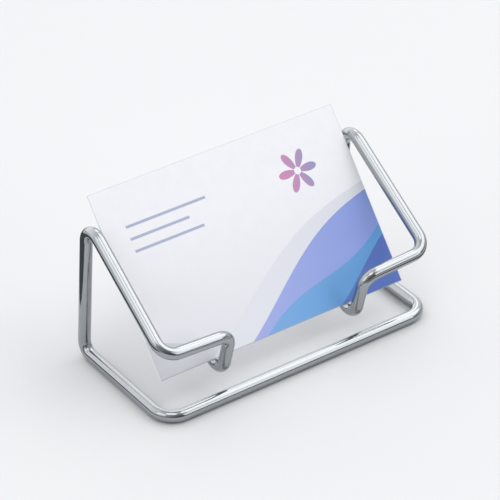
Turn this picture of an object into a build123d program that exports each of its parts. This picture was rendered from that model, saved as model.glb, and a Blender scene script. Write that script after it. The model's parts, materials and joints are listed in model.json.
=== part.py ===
from build123d import *
import math
import os

# Business card stand: one bent wire frame, and the card that leans in its two hooks.
# Millimetres, seen by someone who faces the card: +X right, +Y back, +Z up, desk at Z 0.
# While it is worked out, Y 0 is the front bar's centre line. The finished pieces are moved
# together, so that the origin is on the desk, in the middle of the whole object's box.

# Card: the common European size, on stiff board
CARD_WIDTH = 85.0
CARD_HEIGHT = 55.0
CARD_THICKNESS = 0.35
CARD_SLOPE = 49.3  # degrees up from the desk
CARD_BEHIND_BAR = 7.3  # lower front edge, behind the front bar's centre line
CARD_ABOVE_DESK = 9.65  # the same edge, above the desk

# Room between the card and the wire
SIDE_CLEARANCE = 0.8  # on each side, where the card passes between the top bends
SEAT_CLEARANCE = 0.15  # under the card's lower edge, and behind it at the back legs

# Wire stock
WIRE_DIAMETER = 3.7
WIRE_END_ROUNDING = 0.9  # on the rim of the two cut ends

# Corners of the bent wire, where neighbouring centre lines would meet
BASE_DEPTH = 40.8  # front bar to the rear corners
TOP_HEIGHT = 47.1  # desk to the top corners
TOP_AHEAD_OF_REAR = 1.4  # the uprights lean forward by this much
FRONT_FLARE = 0.75  # front corners further out than the top corners, on each side
REAR_FLARE = 0.45  # rear corners, the same way
LIP_FLARE = 0.85  # lip corners, the same way
LIP_BEHIND_BAR = 1.2
LIP_HEIGHT = 22.7
LIP_TIP_BEHIND_BAR = 1.6  # inner end of the lip, where it turns down into the hook
LIP_TIP_HEIGHT = 21.1
HOOK_SPACING = 46.8  # left hook to right hook
BACK_LEG_REACH = 36.0  # free end, up the card's back from its lower edge

# Radii of the bends, on the centre line
FRONT_BEND = 6.0
REAR_BEND = 3.7
TOP_BEND = 4.2
LIP_BEND = 5.0
LIP_TIP_BEND = 4.3
HOOK_BEND = 3.7

wire_radius = WIRE_DIAMETER / 2
top_half = CARD_WIDTH / 2 + SIDE_CLEARANCE + wire_radius
slope = math.radians(CARD_SLOPE)

# The card's front face: local X along its lower edge, local Y up the slope, local Z out of the face
card_face = Plane(
    origin=(0, CARD_BEHIND_BAR, CARD_ABOVE_DESK),
    x_dir=(1, 0, 0),
    z_dir=(0, -math.sin(slope), math.cos(slope)),
)


def touching_line(start, centre, radius, turn):
    """Direction, in the YZ plane, of the line from start that touches a circle.

    turn is 1 where the circle lies to the left of the line, and -1 where it lies to the right.
    """
    towards = centre - start
    half_width = math.asin(radius / towards.length)
    heading = math.atan2(towards.Z, towards.Y) - turn * half_width
    return Vector(0, math.cos(heading), math.sin(heading))


def meeting_point(start_a, direction_a, start_b, direction_b):
    """Point of the YZ plane where two lines cross."""
    apart = start_b - start_a
    cross = direction_a.Y * direction_b.Z - direction_a.Z * direction_b.Y
    along_a = (apart.Y * direction_b.Z - apart.Z * direction_b.Y) / cross
    return start_a + direction_a * along_a


def hook_line():
    """Side view of one hook, at X 0: lip tip, corner under the card, free end behind the card."""
    lip_tip = Vector(0, LIP_TIP_BEHIND_BAR, LIP_TIP_HEIGHT)
    card_heel = card_face.from_local_coords(Vector(0, 0, -CARD_THICKNESS))
    bend_centre = card_heel + Vector(0, 0, HOOK_BEND - wire_radius - SEAT_CLEARANCE)
    behind_face = CARD_THICKNESS + SEAT_CLEARANCE + wire_radius
    free_end = card_face.from_local_coords(Vector(0, BACK_LEG_REACH, -behind_face))
    front_leg = touching_line(lip_tip, bend_centre, HOOK_BEND, 1)
    back_leg = touching_line(free_end, bend_centre, HOOK_BEND, -1)
    corner = meeting_point(lip_tip, front_leg, free_end, back_leg)
    return [lip_tip, corner, free_end]


def side_corners(side):
    """Centre-line corners of one side, from the front bar to the free end."""
    lip_corners = [
        Vector(side * (top_half + FRONT_FLARE), 0, wire_radius),
        Vector(side * (top_half + REAR_FLARE), BASE_DEPTH, wire_radius),
        Vector(side * top_half, BASE_DEPTH - TOP_AHEAD_OF_REAR, TOP_HEIGHT),
        Vector(side * (top_half + LIP_FLARE), LIP_BEHIND_BAR, LIP_HEIGHT),
    ]
    hook_offset = Vector(side * HOOK_SPACING / 2, 0, 0)
    return lip_corners + [point + hook_offset for point in hook_line()]


def make_wire_frame():
    """One round wire swept along straight runs and tangent arcs, with its cut ends rounded."""
    bends = [FRONT_BEND, REAR_BEND, TOP_BEND, LIP_BEND, LIP_TIP_BEND, HOOK_BEND]
    corners = side_corners(-1)[::-1] + side_corners(1)
    route = FilletPolyline(*corners, radius=bends[::-1] + bends)
    section = Plane(origin=route @ 0, z_dir=route % 0) * Circle(wire_radius)
    wire = sweep(section, path=route)
    stock_volume = math.pi * wire_radius**2 * route.length
    print(f"wire length {route.length:.1f} mm, volume {wire.volume:.1f} of {stock_volume:.1f} mm3")
    rims = wire.edges().filter_by(GeomType.CIRCLE)
    end_rims = [rims.sort_by_distance(route @ end)[0] for end in (0, 1)]
    return fillet(end_rims, WIRE_END_ROUNDING)


def make_business_card():
    """A flat card with square corners, its front face on card_face."""
    seat = (Align.CENTER, Align.MIN, Align.MAX)
    return card_face * Box(CARD_WIDTH, CARD_HEIGHT, CARD_THICKNESS, align=seat)


pieces = {"wire_frame": make_wire_frame(), "business_card": make_business_card()}
box = Compound(list(pieces.values())).bounding_box()
to_origin = Pos(0, -(box.min.Y + box.max.Y) / 2, 0)
print(f"moved by {to_origin.position.Y:.4f} mm along Y; box {box.size}")

os.makedirs("parts", exist_ok=True)
for name, piece in pieces.items():
    placed = to_origin * piece
    placed.label = name
    export_step(placed, f"parts/{name}.step")
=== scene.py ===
import json
import math

import bmesh
import bpy
from mathutils import Matrix, Vector


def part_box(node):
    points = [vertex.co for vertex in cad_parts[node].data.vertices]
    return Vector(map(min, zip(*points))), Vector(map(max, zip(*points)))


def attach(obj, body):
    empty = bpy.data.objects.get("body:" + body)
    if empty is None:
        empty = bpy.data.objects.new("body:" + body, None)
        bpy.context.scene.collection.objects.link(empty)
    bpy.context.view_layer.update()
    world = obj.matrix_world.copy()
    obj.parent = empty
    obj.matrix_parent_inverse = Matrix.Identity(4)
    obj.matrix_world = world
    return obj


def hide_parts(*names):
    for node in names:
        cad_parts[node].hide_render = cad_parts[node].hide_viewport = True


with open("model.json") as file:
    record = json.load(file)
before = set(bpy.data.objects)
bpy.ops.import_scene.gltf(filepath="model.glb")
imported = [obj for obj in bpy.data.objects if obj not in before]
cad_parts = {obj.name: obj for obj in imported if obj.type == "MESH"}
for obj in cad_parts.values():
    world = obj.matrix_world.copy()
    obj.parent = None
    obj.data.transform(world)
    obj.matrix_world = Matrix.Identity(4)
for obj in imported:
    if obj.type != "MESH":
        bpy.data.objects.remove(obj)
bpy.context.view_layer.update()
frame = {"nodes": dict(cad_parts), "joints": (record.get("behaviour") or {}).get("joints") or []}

# Business card stand: a bent chrome wire, kept as it comes from the frame, and the printed card in its
# hooks, made here. Metres, +X right, +Y back, +Z up, with the desk at Z 0.

MM = 0.001

# Card
CARD_HEIGHT = 55 * MM
CARD_THICKNESS = 0.35 * MM
CARD_BOW = 0.25 * MM  # its middle stands this far in front of its side edges
CARD_COLUMNS = 48
CARD_ROWS = 32
CARD_EDGE_ROUNDING = 0.05 * MM
CARD_EDGE_FACETS = 2

# Card print and painted shade, in millimetres, measured from the middle of the card's lower edge
INK_EDGE = 0.08  # width over which an edge of the print fades
PAINTED_FOOT_SHADE = "#E0E1E8"  # painted shade: the card's front darkens towards its foot, as if less lit there
PAINTED_FOOT_SHADE_TOP = 40.0  # height where it starts
WAVES = [  # height at the middle, rise per millimetre, swing, length, shift in degrees, left and right ink
    # The first, pale grey wave is print that also stands as painted shade on the corner under the left lip.
    (-3.6, -0.36, 0.5, 40.0, 200.0, "#D0D2D9", "#D8DAE2"),
    (14.0, 0.42, 3.6, 96.0, 30.0, "#E3E5EC", "#D9DCE6"),
    (8.2, 0.47, 3.4, 84.0, -10.0, "#AEB6EA", "#8499DC"),
    (0.6, 0.46, 3.0, 66.0, 80.0, "#86B4E6", "#5797D4"),
    (-7.0, 0.46, 2.6, 60.0, 170.0, "#6B8FD0", "#4F6DBB"),
]
ROSETTE_CENTRE = (23.5, 40.5)
ROSETTE_RADIUS = 6.6
ROSETTE_PETALS = 6
ROSETTE_EYE = 1.1
ROSETTE_INKS = ("#CF86B2", "#8F93BE")
RULE_LEFT = -35.0
RULE_HEIGHT = 0.85
RULES = [(43.0, 27.0), (39.4, 20.0), (35.8, 23.5)]  # height on the card, length
RULE_INK = "#A7B0CB"
CUT_RIM = 0.22  # a greyer strip along the cut edges
CUT_RIM_COLOUR = "#B9BBC4"
PAINTED_EDGE_SHADE = 0.3  # strip along the lower edge painted darker, as painted shade at the card's foot
PAINTED_EDGE_SHADE_COLOUR = "#969AA4"
PRINT_ROUGHNESS = 0.55

# Wire finish, with the sizes of its features in millimetres
WIRE_TINTS = ("#9FA3A7", "#AAADB0")  # clean, handled
WIRE_ROUGHNESS = (0.08, 0.15)  # clean, handled
WIRE_WAVER = 7.0  # unevenness left by drawing the wire
WIRE_WAVER_DETAIL = 1.0
WIRE_WAVER_DEPTH = 0.1
WIRE_WAVER_SHARE = 0.15  # of that depth, to keep the mirror nearly true
WIRE_HANDLING = 3.0  # patches dulled by fingers
WIRE_HANDLING_DETAIL = 4.0
WIRE_HANDLING_SPAN = (0.35, 0.7)  # part of the noise over which a patch goes from clean to handled

# Board finish, with the sizes of its features in millimetres
BOARD_TINTS = ("#EBECF2", "#F2F2F7")
BOARD_ROUGHNESS = 0.75
BOARD_CLOUDS = 4.0  # thicker and thinner fibre, as held against the light
BOARD_CLOUDS_DETAIL = 5.0
BOARD_TOOTH = 0.35  # real fibres are some ten times finer, drawn this coarse to show in the picture
BOARD_TOOTH_DETAIL = 3.0
BOARD_TOOTH_DEPTH = 0.02
BOARD_TOOTH_SHARE = 0.25  # of that depth, for board pressed smooth

# Camera: bearing and height round the stand, sideways tilt, and a long lens
CAMERA_BEARING = -37.30  # degrees round the stand from straight in front, below zero on its left
CAMERA_ELEVATION = 34.27
CAMERA_ROLL = math.radians(1.36)
CAMERA_DISTANCE = 856 * MM
CAMERA_AIM = Vector((-3.07, -0.79, 30.75)) * MM
FOCAL_PIXELS = 3051
IMAGE_PIXELS = 500
SENSOR_MM = 36.0
CAMERA_CLIP_START = 10 * MM

# Studio, with lengths in metres unless in MM
FLOOR_SIZE = 4.0
FLOOR_COLOUR = "#D4D5D7"
FLOOR_ROUGHNESS = 0.9
FLOOR_SHINE = 0.1
TENT_COLOUR = "#FFFFFF"
TENT_FRONT = 0.1  # brightness of its wall in front of the stand
TENT_BACK = 1.75  # brightness of its wall behind the stand
TENT_FOOT = 0.8  # share of that brightness at its foot
TENT_RISE = 0.2  # height on the tent, as a sine, where it reaches its full brightness
SOFTBOX_DISTANCE = 2.6
SOFTBOX_POWER = math.pi  # watts from a square metre of its face, at a brightness of 1
SOFTBOXES = [  # name, bearing and elevation round the stand in degrees, width, brightness of its face
    ("softbox_low", 29, 26, 1.28, 1.5),
    ("softbox_right", 72, 50, 2.20, 1.6),
    ("softbox_left", -82, 40, 1.44, 0.95),
    ("softbox_top", -38, 71, 1.20, 1.6),
    ("softbox_back", 134, 43, 0.85, 1.5),
]
FLAG_COLOUR = "#4A4E52"
FLAG_ROUGHNESS = 0.9
FLAG_NEAR = 73.5 * MM  # from under the aim to the flag's inner edge, just outside the picture
FLAG_SPREAD = 0.07  # the inner edges part like the picture's sides, by this much for each unit of distance
FLAG_FAR = 115 * MM  # to the fold where it stands up
FLAG_LENGTH = 420 * MM
FLAG_LIFT = 0.5 * MM  # above the floor
FLAGS = [  # name, side of the picture (-1 left, 1 right), height of the edge that stands up
    ("flag_left", -1, 16 * MM),
    ("flag_right", 1, 3 * MM),
]


def linear(colour):
    """sRGB hex colour as linear red, green, blue and alpha."""
    parts = [int(colour[i:i + 2], 16) / 255 for i in (1, 3, 5)]
    return [c / 12.92 if c <= 0.04045 else ((c + 0.055) / 1.055) ** 2.4 for c in parts] + [1.0]


def per_mm(size):
    """Scale of a pattern whose features are this many millimetres across."""
    return 1 / (size * MM)


def add_node(tree, kind, inputs=None, output=None, **settings):
    """Adds a node with its settings, links or sets its inputs by name or number, and gives one output."""
    made = tree.nodes.new(kind)
    for name, value in settings.items():
        setattr(made, name, value)
    sockets = [s for s in made.inputs if s.enabled]
    for key, value in (inputs or {}).items():
        socket = sockets[key] if isinstance(key, int) else next(s for s in sockets if s.name == key)
        if isinstance(value, bpy.types.NodeSocket):
            tree.links.new(value, socket)
        else:
            socket.default_value = value
    outputs = [s for s in made.outputs if s.enabled]
    return next((s for s in outputs if output in (None, s.name)), None)


def new_material(name):
    """An empty node material."""
    material = bpy.data.materials.new(name)
    material.use_nodes = True
    material.node_tree.nodes.clear()
    return material


def chrome_plated_steel_wire():
    """Bright chrome over drawn steel wire: a cold grey mirror, a shade darker than new chrome.

    The drawn wire is not perfectly even, so reflections waver along it, and handling leaves it
    duller in patches.
    """
    material = new_material("chrome_plated_steel_wire")
    tree = material.node_tree
    place = add_node(tree, "ShaderNodeTexCoord", output="Object")
    waver = add_node(
        tree, "ShaderNodeTexNoise",
        {"Vector": place, "Scale": per_mm(WIRE_WAVER), "Detail": WIRE_WAVER_DETAIL},
    )
    handling = add_node(
        tree, "ShaderNodeTexNoise",
        {"Vector": place, "Scale": per_mm(WIRE_HANDLING), "Detail": WIRE_HANDLING_DETAIL},
    )
    clean_tint, handled_tint = WIRE_TINTS
    tint = add_node(
        tree, "ShaderNodeMix", {"Factor": handling, "A": linear(clean_tint), "B": linear(handled_tint)},
        data_type="RGBA",
    )
    clean_noise, handled_noise = WIRE_HANDLING_SPAN
    clean_roughness, handled_roughness = WIRE_ROUGHNESS
    dullness = add_node(
        tree, "ShaderNodeMapRange",
        {
            "Value": handling,
            "From Min": clean_noise,
            "From Max": handled_noise,
            "To Min": clean_roughness,
            "To Max": handled_roughness,
        },
    )
    bump = add_node(
        tree, "ShaderNodeBump",
        {"Strength": WIRE_WAVER_SHARE, "Distance": WIRE_WAVER_DEPTH * MM, "Height": waver},
    )
    shader = add_node(
        tree, "ShaderNodeBsdfPrincipled",
        {"Base Color": tint, "Metallic": 1.0, "Roughness": dullness, "Normal": bump},
    )
    add_node(tree, "ShaderNodeOutputMaterial", {"Surface": shader})
    return material


def paper_grain(tree, place):
    """Mottling and surface of the uncoated board: cloudy fibres, and a fine tooth."""
    clouds = add_node(
        tree, "ShaderNodeTexNoise",
        {"Vector": place, "Scale": per_mm(BOARD_CLOUDS), "Detail": BOARD_CLOUDS_DETAIL},
    )
    tooth = add_node(
        tree, "ShaderNodeTexNoise",
        {"Vector": place, "Scale": per_mm(BOARD_TOOTH), "Detail": BOARD_TOOTH_DETAIL},
    )
    bump = add_node(
        tree, "ShaderNodeBump",
        {"Strength": BOARD_TOOTH_SHARE, "Distance": BOARD_TOOTH_DEPTH * MM, "Height": tooth},
    )
    thin_tint, thick_tint = BOARD_TINTS
    colour = add_node(
        tree, "ShaderNodeMix", {"Factor": clouds, "A": linear(thin_tint), "B": linear(thick_tint)},
        data_type="RGBA",
    )
    return colour, bump


def uncoated_board():
    """The board's cut edges and plain back: white paper fibres, matt all over."""
    material = new_material("uncoated_white_board")
    tree = material.node_tree
    place = add_node(tree, "ShaderNodeTexCoord", output="Object")
    colour, bump = paper_grain(tree, place)
    shader = add_node(
        tree, "ShaderNodeBsdfPrincipled",
        {"Base Color": colour, "Roughness": BOARD_ROUGHNESS, "Normal": bump},
    )
    add_node(tree, "ShaderNodeOutputMaterial", {"Surface": shader})
    return material


def under_wave(tree, across, up, wave):
    """Mask of the board below one wave of the print."""
    middle, rise, swing, length, shift = wave
    turn = add_node(
        tree, "ShaderNodeMath", {0: across, 1: 2 * math.pi / length, 2: math.radians(shift)},
        operation="MULTIPLY_ADD",
    )
    swell = add_node(tree, "ShaderNodeMath", {0: turn}, operation="SINE")
    crest = add_node(
        tree, "ShaderNodeMath", {0: swell, 1: swing, 2: middle}, operation="MULTIPLY_ADD",
    )
    sloped = add_node(tree, "ShaderNodeMath", {0: across, 1: rise, 2: crest}, operation="MULTIPLY_ADD")
    below = add_node(tree, "ShaderNodeMath", {0: sloped, 1: up}, operation="SUBTRACT")
    return add_node(tree, "ShaderNodeMapRange", {"Value": below, "From Max": INK_EDGE})


def rosette_mask(tree, across, up):
    """Mask of a flower whose petals are the lobes of a cosine, with an open eye."""
    centre_across, centre_up = ROSETTE_CENTRE
    side = add_node(tree, "ShaderNodeMath", {0: across, 1: centre_across}, operation="SUBTRACT")
    rise = add_node(tree, "ShaderNodeMath", {0: up, 1: centre_up}, operation="SUBTRACT")
    bearing = add_node(tree, "ShaderNodeMath", {0: rise, 1: side}, operation="ARCTAN2")
    spot = add_node(tree, "ShaderNodeCombineXYZ", {"X": side, "Y": rise})
    reach = add_node(
        tree, "ShaderNodeVectorMath", {0: spot}, output="Value", operation="LENGTH",
    )
    turn = add_node(tree, "ShaderNodeMath", {0: bearing, 1: ROSETTE_PETALS / 2}, operation="MULTIPLY")
    lobe = add_node(tree, "ShaderNodeMath", {0: turn}, operation="COSINE")
    petal = add_node(tree, "ShaderNodeMath", {0: lobe}, operation="ABSOLUTE")
    edge = add_node(tree, "ShaderNodeMath", {0: petal, 1: ROSETTE_RADIUS}, operation="MULTIPLY")
    inside = add_node(tree, "ShaderNodeMath", {0: edge, 1: reach}, operation="SUBTRACT")
    past_eye = add_node(tree, "ShaderNodeMath", {0: reach, 1: ROSETTE_EYE}, operation="SUBTRACT")
    both = add_node(tree, "ShaderNodeMath", {0: inside, 1: past_eye}, operation="MINIMUM")
    return add_node(tree, "ShaderNodeMapRange", {"Value": both, "From Max": INK_EDGE})


def rule_mask(tree, across, up, height, length):
    """Mask of one plain rule that starts at the left margin."""
    half = length / 2
    side = add_node(tree, "ShaderNodeMath", {0: across, 1: RULE_LEFT + half}, operation="SUBTRACT")
    rise = add_node(tree, "ShaderNodeMath", {0: up, 1: height}, operation="SUBTRACT")
    off_side = add_node(tree, "ShaderNodeMath", {0: side}, operation="ABSOLUTE")
    off_rise = add_node(tree, "ShaderNodeMath", {0: rise}, operation="ABSOLUTE")
    room_side = add_node(tree, "ShaderNodeMath", {0: half, 1: off_side}, operation="SUBTRACT")
    room_rise = add_node(tree, "ShaderNodeMath", {0: RULE_HEIGHT / 2, 1: off_rise}, operation="SUBTRACT")
    room = add_node(tree, "ShaderNodeMath", {0: room_side, 1: room_rise}, operation="MINIMUM")
    return add_node(tree, "ShaderNodeMapRange", {"Value": room, "From Max": INK_EDGE})


def room_to_edge(tree, across, up, half_width):
    """Distance from the nearest edge of the card, in millimetres."""
    half_height = CARD_HEIGHT / MM / 2
    off_side = add_node(tree, "ShaderNodeMath", {0: across}, operation="ABSOLUTE")
    from_middle = add_node(tree, "ShaderNodeMath", {0: up, 1: half_height}, operation="SUBTRACT")
    off_rise = add_node(tree, "ShaderNodeMath", {0: from_middle}, operation="ABSOLUTE")
    room_side = add_node(tree, "ShaderNodeMath", {0: half_width, 1: off_side}, operation="SUBTRACT")
    room_rise = add_node(tree, "ShaderNodeMath", {0: half_height, 1: off_rise}, operation="SUBTRACT")
    return add_node(tree, "ShaderNodeMath", {0: room_side, 1: room_rise}, operation="MINIMUM")


def printed_board_and_painted_shade(card_width):
    """The board's front: the same paper, offset printed with layered waves, a flower and plain rules.

    A painted shade deepens down the card, and the lowest, pale grey wave also stands as painted shade under
    the left lip. The ink lies in the paper, so the tooth still shows through it, and a greyer rim runs
    along the cut edges. A strip along the lower edge is painted darker, as painted shade at the card's
    foot.
    """
    material = new_material("offset_printed_board_and_painted_shade")
    tree = material.node_tree
    place = add_node(tree, "ShaderNodeTexCoord", output="Object")
    in_mm = add_node(
        tree, "ShaderNodeVectorMath", {0: place, "Scale": 1 / MM}, operation="SCALE",
    )
    across = add_node(tree, "ShaderNodeSeparateXYZ", {0: in_mm}, output="X")
    up = add_node(tree, "ShaderNodeSeparateXYZ", {0: in_mm}, output="Y")
    half_width = card_width / MM / 2
    from_left = add_node(
        tree, "ShaderNodeMapRange", {"Value": across, "From Min": -half_width, "From Max": half_width},
    )
    colour, bump = paper_grain(tree, place)
    # Painted shade: the board darkens from that height down to its lower edge.
    depth = add_node(
        tree, "ShaderNodeMapRange", {"Value": up, "From Max": PAINTED_FOOT_SHADE_TOP, "To Min": 1.0, "To Max": 0.0},
    )
    colour = add_node(
        tree, "ShaderNodeMix", {"Factor": depth, "A": colour, "B": linear(PAINTED_FOOT_SHADE)}, data_type="RGBA",
    )
    for *wave, left_ink, right_ink in WAVES:
        ink = add_node(
            tree, "ShaderNodeMix", {"Factor": from_left, "A": linear(left_ink), "B": linear(right_ink)},
            data_type="RGBA",
        )
        mask = under_wave(tree, across, up, wave)
        colour = add_node(
            tree, "ShaderNodeMix", {"Factor": mask, "A": colour, "B": ink}, data_type="RGBA",
        )
    flower_middle, _ = ROSETTE_CENTRE
    spread = add_node(
        tree, "ShaderNodeMapRange",
        {
            "Value": across,
            "From Min": flower_middle - ROSETTE_RADIUS,
            "From Max": flower_middle + ROSETTE_RADIUS,
        },
    )
    left_ink, right_ink = ROSETTE_INKS
    flower_ink = add_node(
        tree, "ShaderNodeMix", {"Factor": spread, "A": linear(left_ink), "B": linear(right_ink)},
        data_type="RGBA",
    )
    colour = add_node(
        tree, "ShaderNodeMix", {"Factor": rosette_mask(tree, across, up), "A": colour, "B": flower_ink},
        data_type="RGBA",
    )
    for height, length in RULES:
        mask = rule_mask(tree, across, up, height, length)
        colour = add_node(
            tree, "ShaderNodeMix", {"Factor": mask, "A": colour, "B": linear(RULE_INK)}, data_type="RGBA",
        )
    room = room_to_edge(tree, across, up, half_width)
    rim = add_node(
        tree, "ShaderNodeMapRange", {"Value": room, "From Max": CUT_RIM, "To Min": 1.0, "To Max": 0.0},
    )
    colour = add_node(
        tree, "ShaderNodeMix", {"Factor": rim, "A": colour, "B": linear(CUT_RIM_COLOUR)}, data_type="RGBA",
    )
    # Painted shade: a darker strip along the card's lower edge.
    painted_edge_shade_mask = add_node(
        tree, "ShaderNodeMapRange", {"Value": up, "From Max": PAINTED_EDGE_SHADE, "To Min": 1.0, "To Max": 0.0},
    )
    colour = add_node(
        tree, "ShaderNodeMix", {"Factor": painted_edge_shade_mask, "A": colour, "B": linear(PAINTED_EDGE_SHADE_COLOUR)}, data_type="RGBA",
    )
    shader = add_node(
        tree, "ShaderNodeBsdfPrincipled",
        {"Base Color": colour, "Roughness": PRINT_ROUGHNESS, "Normal": bump},
    )
    add_node(tree, "ShaderNodeOutputMaterial", {"Surface": shader})
    return material


def card_frame():
    """The card's own axes: X along its lower front edge, Y up its slope, Z out of its printed face."""
    low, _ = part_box("business_card")
    up_slope = Vector(frame["joints"][0]["axis"]).normalized()
    along = Vector((1, 0, 0))
    outward = along.cross(up_slope)
    corner = Vector((0, low.y, low.z + CARD_THICKNESS * outward.z))
    axes = Matrix((along, up_slope, outward)).transposed().to_4x4()
    return Matrix.Translation(corner) @ axes


def make_card():
    """The card as a closed sheet with a slight bow, printed on its front."""
    low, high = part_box("business_card")
    width = high.x - low.x
    shape = bmesh.new()
    front, back = [], []
    for row in range(CARD_ROWS + 1):
        up = CARD_HEIGHT * row / CARD_ROWS
        for column in range(CARD_COLUMNS + 1):
            share = 2 * column / CARD_COLUMNS - 1
            bow = CARD_BOW * (1 - share * share)
            front.append(shape.verts.new((share * width / 2, up, bow)))
            back.append(shape.verts.new((share * width / 2, up, bow - CARD_THICKNESS)))
    stride = CARD_COLUMNS + 1
    for row in range(CARD_ROWS):
        for column in range(CARD_COLUMNS):
            first = row * stride + column
            ring = (first, first + 1, first + stride + 1, first + stride)
            shape.faces.new([front[i] for i in ring])
            shape.faces.new([back[i] for i in reversed(ring)]).material_index = 1
    last_row = CARD_ROWS * stride
    rim = list(range(stride))
    rim += [row * stride + CARD_COLUMNS for row in range(1, CARD_ROWS + 1)]
    rim += [last_row + column for column in range(CARD_COLUMNS - 1, -1, -1)]
    rim += [row * stride for row in range(CARD_ROWS - 1, 0, -1)]
    for here, there in zip(rim, rim[1:] + rim[:1]):
        side = shape.faces.new((back[here], back[there], front[there], front[here]))
        side.material_index = 1
    mesh = bpy.data.meshes.new("printed_card")
    shape.to_mesh(mesh)
    shape.free()
    mesh.materials.append(printed_board_and_painted_shade(width))
    mesh.materials.append(uncoated_board())
    card = bpy.data.objects.new("printed_card", mesh)
    bpy.context.scene.collection.objects.link(card)
    card.matrix_world = card_frame()
    rounding = card.modifiers.new("cut_edge", "BEVEL")
    rounding.width = CARD_EDGE_ROUNDING
    rounding.segments = CARD_EDGE_FACETS
    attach(card, "card")
    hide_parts("business_card")


def finish_wire():
    """The bent wire keeps its own shape and gets its plating."""
    wire = frame["nodes"]["wire_frame"]
    wire.data.materials.clear()
    wire.data.materials.append(chrome_plated_steel_wire())


def make_floor():
    """A plain pale studio floor."""
    half = FLOOR_SIZE / 2
    corners = [(-half, -half, 0), (half, -half, 0), (half, half, 0), (-half, half, 0)]
    mesh = bpy.data.meshes.new("floor")
    mesh.from_pydata(corners, [], [(0, 1, 2, 3)])
    material = new_material("matt_studio_paper")
    shader = add_node(
        material.node_tree, "ShaderNodeBsdfPrincipled",
        {
            "Base Color": linear(FLOOR_COLOUR),
            "Roughness": FLOOR_ROUGHNESS,
            "Specular IOR Level": FLOOR_SHINE,
        },
    )
    add_node(material.node_tree, "ShaderNodeOutputMaterial", {"Surface": shader})
    mesh.materials.append(material)
    floor = bpy.data.objects.new("floor", mesh)
    bpy.context.scene.collection.objects.link(floor)


def make_tent():
    """A white tent round the stand: brighter behind it than in front, and darker at its foot."""
    world = bpy.data.worlds.new("studio_tent")
    bpy.context.scene.world = world
    world.use_nodes = True
    tree = world.node_tree
    tree.nodes.clear()
    towards = add_node(tree, "ShaderNodeTexCoord", output="Generated")
    behind = add_node(tree, "ShaderNodeSeparateXYZ", {0: towards}, output="Y")
    height = add_node(tree, "ShaderNodeSeparateXYZ", {0: towards}, output="Z")
    wall = add_node(
        tree, "ShaderNodeMapRange",
        {"Value": behind, "From Min": -1.0, "To Min": TENT_FRONT, "To Max": TENT_BACK},
    )
    foot = add_node(
        tree, "ShaderNodeMapRange", {"Value": height, "From Max": TENT_RISE, "To Min": TENT_FOOT},
    )
    level = add_node(tree, "ShaderNodeMath", {0: wall, 1: foot}, operation="MULTIPLY")
    glow = add_node(tree, "ShaderNodeBackground", {"Color": linear(TENT_COLOUR), "Strength": level})
    add_node(tree, "ShaderNodeOutputWorld", {"Surface": glow})


def from_stand(bearing, elevation):
    """Direction from the stand, by degrees round it from straight in front and degrees up from the desk."""
    turn, rise = math.radians(bearing), math.radians(elevation)
    return Vector((math.sin(turn) * math.cos(rise), -math.cos(turn) * math.cos(rise), math.sin(rise)))


def make_softboxes():
    """Large soft lamps round the stand, which the bent wire also mirrors as its pale bands."""
    for name, bearing, elevation, width, brightness in SOFTBOXES:
        outward = from_stand(bearing, elevation)
        lamp = bpy.data.lights.new(name, "AREA")
        lamp.size = width
        lamp.energy = brightness * SOFTBOX_POWER * width**2
        softbox = bpy.data.objects.new(name, lamp)
        bpy.context.scene.collection.objects.link(softbox)
        softbox.location = outward * SOFTBOX_DISTANCE
        softbox.rotation_mode = "QUATERNION"
        softbox.rotation_quaternion = outward.to_track_quat("Z", "Y")


def make_flags():
    """Two dark cards that give the mirror wire something to show, one each side of the picture.

    Each lies on the floor from just outside the picture, then folds up. Only reflections show them:
    hidden from the camera and casting no shadow, they are out of the way in views from other sides.
    """
    material = new_material("dark_grey_flag_board")
    shader = add_node(
        material.node_tree, "ShaderNodeBsdfPrincipled",
        {"Base Color": linear(FLAG_COLOUR), "Roughness": FLAG_ROUGHNESS},
    )
    add_node(material.node_tree, "ShaderNodeOutputMaterial", {"Surface": shader})
    away = -from_stand(CAMERA_BEARING, 0)
    sideways = away.cross(Vector((0, 0, 1)))
    foot = Vector((CAMERA_AIM.x, CAMERA_AIM.y, FLAG_LIFT))
    for name, side, height in FLAGS:
        corners = []
        for reach in (-FLAG_LENGTH / 2, FLAG_LENGTH / 2):
            end = foot + away * reach
            fold = end + sideways * side * FLAG_FAR
            corners.append(end + sideways * side * (FLAG_NEAR + FLAG_SPREAD * reach))
            corners.append(fold)
            corners.append(fold + Vector((0, 0, height)))
        mesh = bpy.data.meshes.new(name)
        mesh.from_pydata(corners, [], [(0, 1, 4, 3), (1, 2, 5, 4)])
        mesh.materials.append(material)
        flag = bpy.data.objects.new(name, mesh)
        bpy.context.scene.collection.objects.link(flag)
        flag.visible_camera = False
        flag.visible_diffuse = False
        flag.visible_shadow = False


def make_camera():
    """The photograph's view, with half a pixel of shift because pixels are measured at their centres."""
    camera = bpy.data.objects.new("camera", bpy.data.cameras.new("camera"))
    bpy.context.scene.collection.objects.link(camera)
    camera.data.sensor_width = SENSOR_MM
    camera.data.lens = FOCAL_PIXELS / IMAGE_PIXELS * SENSOR_MM
    back = from_stand(CAMERA_BEARING, CAMERA_ELEVATION)
    right = from_stand(CAMERA_BEARING + 90, 0)
    up = back.cross(right)
    tilt = Matrix.Rotation(CAMERA_ROLL, 3, back)
    right, up = tilt @ right, tilt @ up
    half_pixel = 0.5 * CAMERA_DISTANCE / FOCAL_PIXELS
    axes = Matrix((right, up, back)).transposed().to_4x4()
    place = CAMERA_AIM + back * CAMERA_DISTANCE + (up - right) * half_pixel
    camera.matrix_world = Matrix.Translation(place) @ axes
    camera.data.clip_start = CAMERA_CLIP_START
    bpy.context.scene.camera = camera


bpy.context.scene.view_settings.view_transform = "Standard"
finish_wire()
make_card()
make_floor()
make_tent()
make_softboxes()
make_flags()
make_camera()
